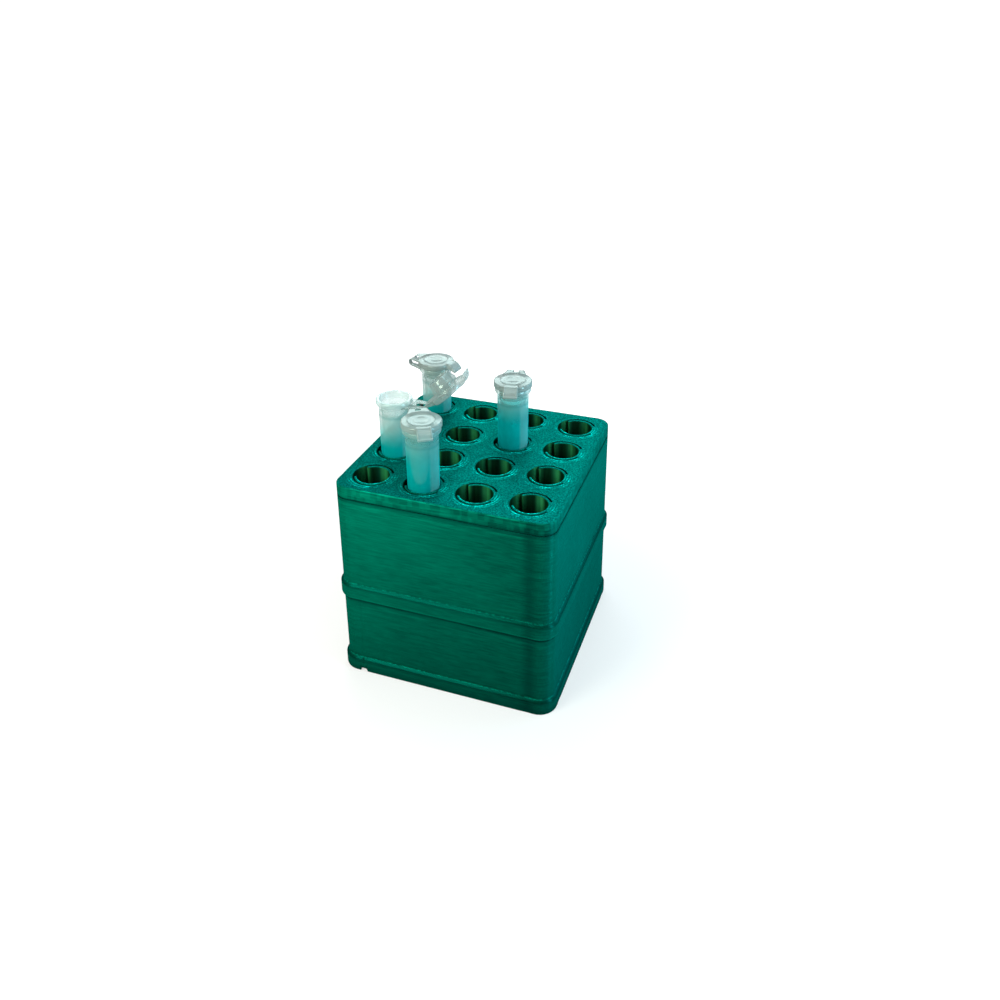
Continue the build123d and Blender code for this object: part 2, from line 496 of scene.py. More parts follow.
def bore_arc(radius):
    """The part of a circle round a socket that isn't taken up by the clip's root."""
    return arc(radius, CLIP_ROOT[1], CLIP_ROOT[0] + 360, BORE_STEPS)


def root_arc(radius):
    """The part of that circle where the clip's root joins it."""
    return arc(radius, CLIP_ROOT[0], CLIP_ROOT[1], ROOT_STEPS)


def full_circle(radius):
    """The whole circle, with the same points as its two parts."""
    return bore_arc(radius) + root_arc(radius)[1:-1]


def clip_path(inset):
    """The clip's edge from above, from one side of its root round both tips to the other side."""
    outer = CLIP_RADIUS + CLIP_WALL - inset
    inner = CLIP_RADIUS + inset
    middle = CLIP_RADIUS + CLIP_WALL / 2
    tip = CLIP_WALL / 2 - inset
    low_tip = CLIP_GAP[1] - 360
    path = [heading(CLIP_ROOT[0], SOCKET_RADIUS)]
    path += arc(outer, CLIP_ROOT[0], low_tip, 16)
    path += arc(tip, low_tip, low_tip - 180, 8, heading(low_tip, middle))[1:-1]
    path += arc(inner, low_tip, CLIP_GAP[0], 40)
    path += arc(tip, CLIP_GAP[0] + 180, CLIP_GAP[0], 8, heading(CLIP_GAP[0], middle))[1:-1]
    path += arc(outer, CLIP_GAP[0], CLIP_ROOT[1], 14)
    path.append(heading(CLIP_ROOT[1], SOCKET_RADIUS))
    return path


def inside_loop(x, y, loop):
    """True if the point is inside a closed outline."""
    inside = False
    for (x1, y1), (x2, y2) in zip(loop, loop[1:] + loop[:1]):
        if (y1 > y) != (y2 > y) and x < (x2 - x1) * (y - y1) / (y2 - y1) + x1:
            inside = not inside
    return inside


def socket_mouth(shell, centre):
    """The lines laid round a socket, from the deck to the bore's edge."""
    radii = [(RIM_RADIUS, DECK_Z)]
    for line in range(SOCKET_LINES):
        edge = RIM_RADIUS - LINE_WIDTH * (line + 0.25)
        radii.append((edge, DECK_Z - LINE_DEPTH))
        radii.append((edge - LINE_WIDTH / 2, DECK_Z))
    radii.append((SOCKET_RADIUS, DECK_Z - CLIP_SINK))
    shell.stack([shell.line(moved(full_circle(radius), centre), z) for radius, z in radii])


def socket(shell, centre):
    """One socket: the lines round its mouth, its bore with the clip in it, and the sleeve round both."""
    socket_mouth(shell, centre)
    sunk = DECK_Z - CLIP_SINK
    bevel = sunk - CLIP_EDGE
    bottom = DECK_Z - SLEEVE_LENGTH
    bore = moved(bore_arc(SOCKET_RADIUS), centre)
    shell.strip(shell.line(bore, sunk), shell.line(bore, bevel), closed=False)
    edge = moved(clip_path(0), centre)
    top = moved(clip_path(CLIP_EDGE), centre)
    shell.strip(shell.line(edge, bevel), shell.line(top, sunk), closed=False)
    root = moved(root_arc(SOCKET_RADIUS), centre)
    shell.faces.append(shell.line(top + root[1:-1][::-1], sunk))

    void = bore + edge[1:-1]
    depths = [bevel - 4 * LAYER * step for step in range(BORE_DEPTHS)] + [bottom]
    shell.stack([shell.line(void, z) for z in depths])
    sleeve = moved(full_circle(SLEEVE_RADIUS), centre)
    shell.fill(sleeve, [void], bottom, lambda x, y: not inside_loop(x, y, void))
    shell.strip(shell.line(sleeve, bottom), shell.line(sleeve, DECK_Z - DECK))


def clear_of_sockets(radius):
    """A test for points of the deck outside every circle of just under that radius round a socket."""
    reach = radius * 0.999
    return lambda x, y: all(math.hypot(x - a, y - b) > reach for a, b in socket_centres())


def tube_rack(wander):
    """The rack: walls, a deck with sixteen sockets, and their sleeves below."""
    shell = Shell()
    wall_low = RACK_LOW + SKIRT_HEIGHT + SHOULDER_HEIGHT
    groove_top = DECK_Z - DECK
    groove_low = groove_top - GROOVE_HEIGHT
    profile = inner_profile(RACK_LOW, groove_top)
    profile += skirt_profile(RACK_LOW, wander)
    profile += layered(wall_low + LAYER, groove_low, HALF_WIDTH, wander)
    profile += layered(groove_low, groove_top, HALF_WIDTH - GROOVE_DEPTH, wander)
    profile += layered(groove_top, DECK_Z - TOP_EDGE_ROUND, HALF_WIDTH, wander)
    profile += rounded_edge(HALF_WIDTH - LAYER_WANDER, DECK_Z, TOP_EDGE_ROUND)
    line_start = HALF_WIDTH - TOP_EDGE_ROUND - LINE_WIDTH / 2
    profile += top_lines(line_start, DECK_Z, EDGE_LINES)
    sweep(shell, profile, plain)
    rims = [moved(full_circle(RIM_RADIUS), centre) for centre in socket_centres()]
    shell.fill(square_line(profile[-1][0]), rims, DECK_Z, clear_of_sockets(RIM_RADIUS))
    sleeves = [moved(full_circle(SLEEVE_RADIUS), centre) for centre in socket_centres()]
    underside = square_line(HALF_WIDTH - WALL)
    shell.fill(underside, sleeves, groove_top, clear_of_sockets(SLEEVE_RADIUS))
    for centre in socket_centres():
        socket(shell, centre)
    return shell


# ---- tubes and caps ----


def lathe(profile):
    """A closed solid of revolution from a closed outline of radius and height."""
    shell = Shell()
    circle = [heading(360 * step / TUBE_SEGMENTS) for step in range(TUBE_SEGMENTS)]
    rings = [shell.line([(radius * x, radius * y) for x, y in circle], z) for radius, z in profile]
    shell.stack(rings + rings[:1])
    return shell


def tip_arc(radius, steps=8):
    """A quarter circle at the tube's lower end, from its side to the axis."""
    return [
        (radius * math.cos(turn), -CONE_END - radius * math.sin(turn))
        for turn in spread(0, math.pi / 2, steps)
    ]


def tube_profile():
    """The tube's outer face from its rim to its tip, then its inner face back up."""
    outer = [
        (COLLAR_RADIUS - 0.45, 0.0), (COLLAR_RADIUS - 0.2, -0.06), (COLLAR_RADIUS, -0.28),
        (COLLAR_RADIUS, -COLLAR_DEPTH), (COLLAR_RADIUS - 0.1, -COLLAR_DEPTH - 0.22),
        (BODY_TOP_RADIUS + 0.27, -COLLAR_DEPTH - 0.5), (BODY_TOP_RADIUS + 0.07, -COLLAR_DEPTH - 0.8),
        (BODY_TOP_RADIUS, -COLLAR_DEPTH - 1.3),
        (BODY_LOW_RADIUS + 0.02, -CONE_START + 1.5), (BODY_LOW_RADIUS, -CONE_START),
        (BODY_LOW_RADIUS - 0.25, -CONE_START - 1.4),
    ]
    inner = [
        (BORE_RADIUS - 0.2, -CONE_START - 1.2), (BORE_RADIUS, -CONE_START),
        (BORE_RADIUS, -THROAT_DEPTH - 0.5), (BORE_RADIUS + 0.04, -THROAT_DEPTH - 0.25),
        (THROAT_RADIUS, -THROAT_DEPTH), (THROAT_RADIUS + 0.1, -COLLAR_DEPTH - 0.2),
        (MOUTH_RADIUS - 0.35, -0.45), (MOUTH_RADIUS - 0.2, -0.08), (MOUTH_RADIUS, 0.0),
    ]
    inner_tip = tip_arc(TIP_RADIUS - TIP_WALL)
    return outer + tip_arc(TIP_RADIUS) + inner_tip[::-1] + inner


def cap_disc_profile(top):
    """The top of the cap from its middle, over both rings, and round its edge to its underside."""
    return [
        (0.0, top), (SMALL_RING_RADIUS - 0.15, top), (SMALL_RING_RADIUS, top + 0.05),
        (SMALL_RING_RADIUS + 0.15, top), (BOSS_RADIUS - 0.5, top),
        (BOSS_RADIUS - 0.35, top + 0.07), (BOSS_RADIUS - 0.25, top + 0.12),
        (BOSS_RADIUS - 0.15, top + 0.07), (BOSS_RADIUS, top), (CAP_RADIUS - 0.4, top),
        (CAP_RADIUS - 0.12, top - 0.1), (CAP_RADIUS, top - 0.38),
        (CAP_RADIUS, CAP_LOW + 0.25), (CAP_RADIUS - 0.1, CAP_LOW + 0.08), (CAP_RADIUS - 0.3, CAP_LOW),
    ]


def plug_profile(top):
    """The hollow sealing plug, from its root down over its bead and up its bore to the middle."""
    return [
        (PLUG_RADIUS + 0.2, CAP_LOW), (PLUG_RADIUS + 0.07, CAP_LOW - 0.2),
        (BEAD_RADIUS - 0.22, -BEAD_DEPTH + 0.7), (BEAD_RADIUS - 0.04, -BEAD_DEPTH + 0.3),
        (BEAD_RADIUS, -BEAD_DEPTH), (BEAD_RADIUS - 0.06, -BEAD_DEPTH - 0.35),
        (PLUG_RADIUS + 0.1, -BEAD_DEPTH - 0.8), (PLUG_RADIUS, -BEAD_DEPTH - 1.3),
        (PLUG_TIP_RADIUS, -PLUG_LENGTH + 0.3), (PLUG_TIP_RADIUS - 0.11, -PLUG_LENGTH + 0.06),
        (PLUG_TIP_RADIUS - 0.26, -PLUG_LENGTH), (PLUG_BORE + 0.1, -PLUG_LENGTH + 0.04),
        (PLUG_BORE, -PLUG_LENGTH + 0.3), (PLUG_BORE + 0.15, -BEAD_DEPTH + 0.3),
        (PLUG_BORE, top - CAP_WEB - 0.15), (PLUG_BORE - 0.3, top - CAP_WEB), (0.0, top - CAP_WEB),
    ]


def slab_piece(outline, half_width, edge):
    """A bar across Y with an outline in XZ and softened sides."""
    shell = Shell()
    middle_x = sum(x for x, _ in outline) / len(outline)
    middle_z = sum(z for _, z in outline) / len(outline)
    sides = ((-half_width, edge), (edge - half_width, 0), (half_width - edge, 0), (half_width, edge))
    lines = []
    for y, shrink in sides:
        first = len(shell.points)
        for x, z in outline:
            reach = max(math.hypot(x - middle_x, z - middle_z), SMALL)
            keep = 1 - shrink / reach
            shell.points.append((middle_x + (x - middle_x) * keep, y, middle_z + (z - middle_z) * keep))
        lines.append(list(range(first, len(shell.points))))
    shell.stack(lines)
    shell.faces.append(lines[0])
    shell.faces.append(lines[-1])
    return shell


def tab_bars():
    """The thumb tab and the two ribs that stiffen it."""
    top = CAP_LOW + CAP_THICKNESS
    rim = -CAP_RADIUS
    tip = -TAB_REACH
    blade = [
        (rim + 1.3, top + 0.1), (rim + 1.3, CAP_LOW + 0.15), (rim - 0.3, CAP_LOW + 0.1),
        (tip + 0.2, -TAB_DROP), (tip, -TAB_DROP + 0.2), (tip + 0.05, -TAB_DROP + TAB_THICKNESS - 0.1),
        (tip + 0.3, -TAB_DROP + TAB_THICKNESS + 0.05), (rim - 1.55, top - 0.85),
        (rim - 0.65, top - 0.2), (rim + 0.15, top + 0.05),
    ]
    rib = [
        (rim + 1.1, top + 0.22), (rim + 1.1, top - 0.6), (rim - 1.05, top - 1.2),
        (tip + 0.35, -TAB_DROP + 0.6), (tip + 0.3, -TAB_DROP + 1.25),
        (rim - 1.55, top - 0.55), (rim - 0.65, top - 0.02), (rim + 0.15, top + 0.2),
    ]
    bars = [slab_piece(blade, TAB_WIDTH / 2, TAB_EDGE)]
    for side in (-RIB_OFFSET, RIB_OFFSET):
        bar = slab_piece(rib, RIB_HALF_WIDTH, RIB_EDGE)
        bar.points = [(x, y + side, z) for x, y, z in bar.points]
        bars.append(bar)
    return bars


def joined(base, others):
    """One solid made of several that overlap."""
    for other in others:
        step = base.modifiers.new("join", "BOOLEAN")
        step.operation = "UNION"
        step.solver = "EXACT"
        step.object = other
    graph = bpy.context.evaluated_depsgraph_get()
    mesh = bpy.data.meshes.new_from_object(base.evaluated_get(graph))
    base.modifiers.clear()
    base.data = mesh
    for other in others:
        bpy.data.objects.remove(other)
    return base


def hinge_path(fold_x, fold_z, radius, opening):
    """The middle of the web in XZ, from the collar round the fold to the cap's disc."""
    path = [(x, fold_z - radius) for x in spread(BODY_TOP_RADIUS + COLLAR_GAP, fold_x, STRAP_STEPS)]
    bend = 180 - opening
    path += arc(radius, -90, -90 + bend, FOLD_STEPS, (fold_x, fold_z))[1:]
    x, z = path[-1]
    dx, dz = heading(bend)
    for way in spread(0, fold_x - CAP_RADIUS + CAP_LAP, STRAP_STEPS)[1:]:
        path.append((x + dx * way, z + dz * way))
    return path


def web_thickness(share, cap_root):
    """How far the web reaches inside and outside its middle line, from the collar (0) to the cap (1)."""
    from_fold = abs(2 * share - 1)
    inside = STRAP_THICKNESS * (0.3 + 0.2 * from_fold)
    root = cap_root if share > 0.5 else COLLAR_ROOT
    outside = inside + root * max(0.0, (from_fold - FOLD_SHARE) / (1 - FOLD_SHARE)) ** ROOT_CURVE
    return inside, outside


def web_columns():
    """Points across the web, with a ridge along each side: how far out, and their share of its thickness."""
    half = [
        (WEB_HALF_SPAN, 0.5), (WEB_HALF_SPAN - 0.15, 1.0), (WEB_HALF_SPAN - 0.6, 1.0),
        (WEB_HALF_SPAN - 0.85, 0.7), (WINDOW_HALF_SPAN + 0.15, 0.7), (WINDOW_HALF_SPAN, 0.5),
    ]
    return [(-y, share) for y, share in half] + half[::-1]


def web_lines(shell, path, cap_root):
    """Adds the web's inner and outer faces, with a line across it for each point of the path. Its ends wrap
    round the collar and round the cap."""
    last = len(path) - 1
    inner = []
    outer = []
    for index, (x, z) in enumerate(path):
        before = path[max(index - 1, 0)]
        after = path[min(index + 1, last)]
        length = math.dist(before, after)
        dx = (after[0] - before[0]) / length
        dz = (after[1] - before[1]) / length
        inside, outside = web_thickness(index / last, cap_root)
        end = 2 * index / last - 1
        widen = 1 + WEB_FLARE * end ** 2
        for lines, reach in ((inner, inside), (outer, -outside)):
            first = len(shell.points)
            for y, share in web_columns():
                wide = y * widen
                wrap = end * abs(end) * (COLLAR_RADIUS - math.sqrt(COLLAR_RADIUS ** 2 - wide ** 2))
                off = reach * share
                shell.points.append((x - dz * off + dx * wrap, wide, z + dx * off + dz * wrap))
            lines.append(list(range(first, len(shell.points))))
    return inner, outer


def hinge_piece(path, cap_root):
    """A web along the path: its two faces, and a wall wherever it ends or its window begins."""
    shell = Shell()
    inner, outer = web_lines(shell, path, cap_root)
    rows = len(inner) - 1
    columns = len(inner[0]) - 1

    def solid(row, column):
        if not (0 <= row < rows and 0 <= column < columns):
            return False
        in_window = column == columns // 2 and abs((row + 0.5) / rows - 0.5) < WINDOW_SHARE
        return not in_window

    cells = [(row, column) for row in range(rows) for column in range(columns) if solid(row, column)]
    for row, column in cells:
        corners = ((row, column), (row, column + 1), (row + 1, column + 1), (row + 1, column))
        beyond = ((row - 1, column), (row, column + 1), (row + 1, column), (row, column - 1))
        under, over = ([side[line][point] for line, point in corners] for side in (inner, outer))
        shell.faces += [under, over]
        for edge, neighbour in enumerate(beyond):
            if not solid(*neighbour):
                after = (edge + 1) % 4
                shell.faces.append((under[edge], under[after], over[after], over[edge]))
    return shell


# ---- materials ----


def sum_method(operation):
    """A method of Value for one kind of sum."""
    return lambda value, other: value.nodes.math(operation, value, other)


class Value:
    """What comes out of a material's node, made so that it can be used in sums."""

    def __init__(self, nodes, socket):
        self.nodes = nodes
        self.socket = socket

    __add__ = sum_method("ADD")
    __sub__ = sum_method("SUBTRACT")
    __mul__ = sum_method("MULTIPLY")
    __truediv__ = sum_method("DIVIDE")
    __pow__ = sum_method("POWER")
    __lt__ = sum_method("LESS_THAN")
    __gt__ = sum_method("GREATER_THAN")

    def __rsub__(self, other):
        return self.nodes.math("SUBTRACT", other, self)

    def __abs__(self):
        return self.nodes.math("ABSOLUTE", self)


class Nodes:
    """A short way to write a material's nodes. Its methods add a node and return what comes out of it."""

    def __init__(self, name):
        self.material = bpy.data.materials.new(name)
        self.material.use_nodes = True
        self.tree = self.material.node_tree
        self.tree.nodes.clear()

    def add(self, kind, values, output=0, **settings):
        """One output of a new node, which has those values at its inputs and those settings."""
        node = self.tree.nodes.new("ShaderNode" + kind)
        for key, value in settings.items():
            setattr(node, key, value)
        for key, value in values.items():
            if isinstance(value, Value):
                self.tree.links.new(value.socket, node.inputs[key])
            else:
                node.inputs[key].default_value = value
        return Value(self, node.outputs[output])

    def math(self, operation, *values, **settings):
        return self.add("Math", dict(enumerate(values)), operation=operation, **settings)

    def vector(self, operation, *values, output=0):
        return self.add("VectorMath", dict(enumerate(values)), output, operation=operation)

    def parts(self, vector):
        """X, Y and Z of a vector."""
        return [self.add("SeparateXYZ", {0: vector}, axis) for axis in range(3)]

    def combined(self, *parts):
        """A vector, or a colour, from its three parts."""
        return self.add("CombineXYZ", dict(enumerate(parts)))

    def noise(self, vector, scale, detail=2.0, roughness=0.5):
        values = {"Vector": vector, "Scale": scale, "Detail": detail, "Roughness": roughness}
        return self.add("TexNoise", values, "Fac")

    def ramp(self, value, low, high, out_low=0.0, out_high=1.0):
        """A smooth step between two limits of the value."""
        values = {"Value": value, "From Min": low, "From Max": high, "To Min": out_low, "To Max": out_high}
        return self.add("MapRange", values, "Result", interpolation_type="SMOOTHSTEP")

    def near(self, value, centre, width):
        """1 where the value is at the centre, falling to 0 a width away."""
        return self.ramp(abs(value - centre), 0.0, width, 1.0, 0.0)

    def mix(self, share, first, second):
        """Between two values."""
        return self.add("Mix", {"Factor": share, "A": first, "B": second})

    def mix_colour(self, share, first, second, blend="MIX"):
        """Between two colours. The node has its colour sockets after those for values and vectors."""
        values = {"Factor": share, 6: first, 7: second}
        return self.add("Mix", values, 2, data_type="RGBA", blend_type=blend)

    def mix_shader(self, share, first, second):
        return self.add("MixShader", {0: share, 1: first, 2: second})

    def bump(self, height, strength):
        """The normal of a surface with relief a tenth of a millimetre deep."""
        values = {"Height": height, "Strength": strength, "Distance": 0.1 * MM}
        return self.add("Bump", values, "Normal")

    def finish(self, shader):
        """The finished material."""
        output = self.tree.nodes.new("ShaderNodeOutputMaterial")
        self.tree.links.new(shader.socket, output.inputs["Surface"])
        return self.material


def printed_spot(nodes):
    """Where a point of a printed unit is, and which way its surface looks."""
    place = nodes.add("TexCoord", {}, "Object")
    x, y, z = nodes.parts(place)
    normal = nodes.add("NewGeometry", {}, "Normal")
    _, ahead, tilt = nodes.parts(normal)
    return SimpleNamespace(place=place, x=x, y=y, z=z, normal=normal, frontal=abs(ahead), tilt=tilt)


def layer_lines(nodes, spot, height, along):
    """A value that steps from layer to layer and drifts slowly along each."""
    layer = nodes.math("FLOOR", spot.z / height)
    return nodes.noise(nodes.combined(spot.x * along, spot.y * along, layer * LAYER_SPREAD), 1.0, 1.0)


def wall_lines(nodes, spot, band_low):
    """Layers that differ in lightness, most of all on the front and just under the top band."""
    fine = nodes.ramp(layer_lines(nodes, spot, FINE_LINE, FINE_ALONG), 0.3, 0.7, -0.5, 0.5)
    coarse = nodes.ramp(layer_lines(nodes, spot, COARSE_LINE, COARSE_ALONG), 0.4, 0.7, -0.3, 0.5)
    near_band = nodes.ramp(spot.z, band_low - 7 * MM, band_low - MM)
    return (coarse * (near_band * 0.5 + 0.15) + fine * 0.42) * (spot.frontal * 0.75 + 0.25)


def band_blocks(nodes, spot, band_low):
    """The short blocks that the top band is laid in."""
    row = nodes.math("FLOOR", spot.z / (DECK * MM / 2))
    blocks = nodes.noise(nodes.combined(spot.x * BLOCK_ALONG, spot.y * BLOCK_ALONG, row), 1.0, 1.0)
    return (spot.z > band_low) * nodes.ramp(blocks, 0.46, 0.54, -0.2, 0.16)


def corner_painted_shade(nodes, spot):
    """Painted shade on the front and back walls, just before the corner that follows."""
    least = nodes.math("MINIMUM", abs(spot.x), abs(spot.y))
    shade_band = nodes.near(least, (HALF_WIDTH - CORNER_RADIUS - 2.0) * MM, 3.5 * MM)
    return shade_band * spot.frontal * (spot.x * spot.y < 0.0)


def wall_shade(nodes, spot, low, high):
    """How light the plastic is on a wall of a unit between two heights: the print's layer lines, blocks and
    mottling, with painted light and shade.
    """
    band_low = (high - DECK) * MM
    cloud = nodes.ramp(nodes.noise(spot.place, 30.0), 0.3, 0.7, 0.88, 1.08)
    # Painted light: front and back walls lighter to the left and darker to the right, and all walls darker
    # low down.
    painted_falloff = nodes.ramp(spot.x, -HALF_WIDTH * MM, HALF_WIDTH * MM, 0.1, -0.28)
    shade = wall_lines(nodes, spot, band_low) + cloud + painted_falloff * spot.frontal
    shade = shade * nodes.ramp(spot.z, 0.0, DECK_Z * MM, 0.6, 1.04) + band_blocks(nodes, spot, band_low)
    # Painted shade darkens the groove under the top band.
    painted_groove_shade = nodes.near(spot.z, band_low - GROOVE_HEIGHT * MM, 1.6 * MM)
    shade = shade * (1.0 - painted_groove_shade * 0.5) * (1.0 - corner_painted_shade(nodes, spot) * 0.5)

    # Painted shade dulls the shoulder, with a broken painted highlight along its top. A painted highlight
    # runs along the skirt's lower edge, and painted shade darkens the wall just under the rack's skirt.
    rise = spot.z - low * MM
    shoulder_shade = nodes.near(rise, (SKIRT_HEIGHT + SHOULDER_HEIGHT * 0.4) * MM, 1.6 * MM)
    dashes = nodes.ramp(nodes.noise(spot.place, 900.0), 0.4, 0.6, 0.1, 1.0)
    crest_highlight = nodes.near(rise, (SKIRT_HEIGHT + SHOULDER_HEIGHT + 0.1) * MM, 0.4 * MM) * dashes
    skirt_shadow = nodes.near(spot.z, RACK_LOW * MM, 2.2 * MM) * (spot.z < RACK_LOW * MM)
    lip_highlight = nodes.near(rise, SKIRT_EDGE * MM, 0.5 * MM)
    return (shade * (1.0 - shoulder_shade * 0.65) + crest_highlight * 0.9) * (1.0 - skirt_shadow * 0.6) + lip_highlight * 0.45


def socket_offset(nodes, spot):
    """The distance from the nearest socket's axis, and its two parts."""
    parts = []
    for value in (spot.x, spot.y):
        wrapped = nodes.math("FLOORED_MODULO", value + SOCKETS_PER_SIDE / 2 * PITCH * MM, PITCH * MM)
        parts.append(wrapped - PITCH / 2 * MM)
    off_x, off_y = parts
    return nodes.math("SQRT", off_x ** 2.0 + off_y ** 2.0), off_x, off_y


def socket_ring_highlights(nodes, spot, speckle):
    """Painted highlights on the rings of laid plastic round each socket, on their near right side."""
    radius, off_x, off_y = socket_offset(nodes, spot)
    wave = nodes.math("SINE", radius * (math.pi / (LINE_WIDTH * MM)))
    side = (off_x * 0.3 - off_y * 0.95) / radius
    painted_catch = nodes.ramp(wave, -0.6, 0.7, -0.25, 3.4) * nodes.ramp(side, -0.2, 0.8, 0.05, 1.0)
    patches = nodes.ramp(nodes.noise(spot.place, 420.0), 0.38, 0.62, 0.1, 1.4)
    grains = nodes.ramp(speckle, 0.4, 0.62, 0.3, 1.5)
    return nodes.ramp(radius, 7.5 * MM, 9.1 * MM, 1.0, 0.0) * painted_catch * patches * grains


def top_shade(nodes, spot, sockets):
    """How light the plastic is on a top face: the print's speckle and diagonal lines, painted light that
    grows towards the right, and painted highlights on the rings if it has sockets.
    """
    diagonal = nodes.math("SINE", (spot.x + spot.y) * (2 * math.pi / (LINE_WIDTH * MM * math.sqrt(2))))
    speckle = nodes.noise(spot.place, SPECKLE, 3.0, 0.8)
    shade = diagonal * 0.1 + nodes.ramp(speckle, 0.4, 0.62, 0.35, 1.65)
    # Painted light: top faces lighter towards the right.
    shade = shade * nodes.ramp(spot.x, -HALF_WIDTH * MM, 10 * MM, 0.65, 1.1)
    if sockets:
        shade = shade + socket_ring_highlights(nodes, spot, speckle)
    return shade


def socket_painted_light(nodes, spot):
    """Where a wall is inside a socket, and the light painted there: dark painted shade, streaks of painted
    reflection, and painted shine on both flanks of its far side.
    """
    radius, off_x, off_y = socket_offset(nodes, spot)
    limit = (SOCKET_RADIUS + 0.2) * MM
    reach = nodes.math("MAXIMUM", abs(spot.x), abs(spot.y)) - ((HALF_WIDTH - WALL - 0.2) * MM - limit)
    inside = (nodes.math("MAXIMUM", radius, reach) < limit) * nodes.ramp(spot.tilt, 0.1, 0.3, 1.0, 0.0)
    streaked_reflection = nodes.noise(nodes.vector("MULTIPLY", spot.place, (700.0, 700.0, 25.0)), 1.0)
    turn = abs(nodes.math("ARCTAN2", off_y, off_x) - FAR_SIDE)
    painted_shine = nodes.near(turn, SHINE_OFFSET, SHINE_WIDTH) * 2.5 + 0.25
    return inside, nodes.ramp(streaked_reflection, 0.35, 0.65, 0.6, 1.2) * painted_shine


def silky(nodes, spot, colour, rough, normal):
    """Slightly metallic plastic, with a sheen that is drawn out across the layers."""
    level = nodes.vector("CROSS_PRODUCT", spot.normal, (0.0, 0.0, 1.0))
    tangent = nodes.vector("NORMALIZE", nodes.vector("ADD", level, (0.01, 0.01, 0.0)))
    plastic = {
        "Base Color": colour,
        "Metallic": 0.4,
        "Specular IOR Level": 0.0,
        "Roughness": rough,
        "Specular Tint": EDGE_TINT,
        "Anisotropic": 0.7,
        "Tangent": tangent,
        "Normal": normal,
    }
    sheen = {"Color": SILK, "Roughness": 0.3, "Anisotropy": 0.5, "Tangent": tangent, "Normal": normal}
    share = nodes.ramp(spot.tilt, 0.15, 0.4, SILK_SHARE, 0.3 * SILK_SHARE)
    surface = nodes.add("BsdfPrincipled", plastic)
    return nodes.mix_shader(share, surface, nodes.add("BsdfAnisotropic", sheen))


def printed_green(low, high, sockets):
    """Silky green printed plastic, for a unit between two heights: layer lines on its walls, laid lines and
    speckle on its top faces, painted light and shade over both, and olive painted shade in its sockets."""
    nodes = Nodes("printed_green")
    spot = printed_spot(nodes)
    upward = nodes.ramp(spot.tilt, 0.9, 0.98)
    inside, painted_socket_light = socket_painted_light(nodes, spot)
    on_wall = nodes.mix(inside, wall_shade(nodes, spot, low, high), painted_socket_light)
    on_top = top_shade(nodes, spot, sockets)

    # Painted shade from an occlusion test darkens creases, skirts' undersides and sockets. A painted
    # highlight brightens the rounded top edge, in patches.
    occlusion_shade = nodes.add("AmbientOcclusion", {"Distance": 6 * MM}, "AO", samples=6)
    edge = nodes.near(spot.tilt, 0.7, 0.35) * nodes.ramp(spot.z, (high - 1.0) * MM, high * MM)
    painted_edge_glint = edge * nodes.ramp(nodes.noise(spot.place, 800.0), 0.4, 0.6, -0.1, 0.15)
    lightness = nodes.mix(upward, on_wall, on_top) * nodes.ramp(occlusion_shade, 0.4, 0.95, 0.2, 1.0) + painted_edge_glint

    # Painted light: one lit copy of the green on the front and back, another on the sides, another on top
    # faces, and olive painted shade inside sockets.
    colour = nodes.mix_colour(spot.frontal, SIDE_LIT_GREEN, FRONT_LIT_GREEN)
    colour = nodes.mix_colour(inside, colour, SHADED_SOCKET_OLIVE)
    colour = nodes.mix_colour(upward, colour, TOP_LIT_GREEN)
    colour = nodes.mix_colour(1.0, colour, nodes.combined(lightness, lightness, lightness), "MULTIPLY")
    layers = layer_lines(nodes, spot, FINE_LINE, FINE_ALONG)
    rough = nodes.mix(nodes.ramp(spot.tilt, 0.1, 0.4), layers * 0.15 + 0.25, 0.5)
    normal = nodes.bump(nodes.mix(upward, layers, on_top), 0.25)
    return nodes.finish(silky(nodes, spot, colour, rough, normal))


def painted_card_reflection(nodes, place, axis):
    """Where the outer faces get a painted reflection of a pale card, as if one stood to the right of the
    rack.
    """
    mirrored_x, mirrored_y, _ = nodes.parts(nodes.add("TexCoord", {}, "Reflection"))
    turn = nodes.math("ARCTAN2", mirrored_y, mirrored_x)
    level = nodes.vector("MULTIPLY", nodes.vector("SUBTRACT", place, axis), (1.0, 1.0, 0.0))
    behind = nodes.add("NewGeometry", {}, "Backfacing")
    outer = nodes.vector("LENGTH", level, output="Value") - behind > (BODY_LOW_RADIUS - 0.3) * MM
    return nodes.ramp(turn, -0.5, 0.0) * nodes.ramp(turn, 1.2, 1.5, 1.0, 0.0) * outer


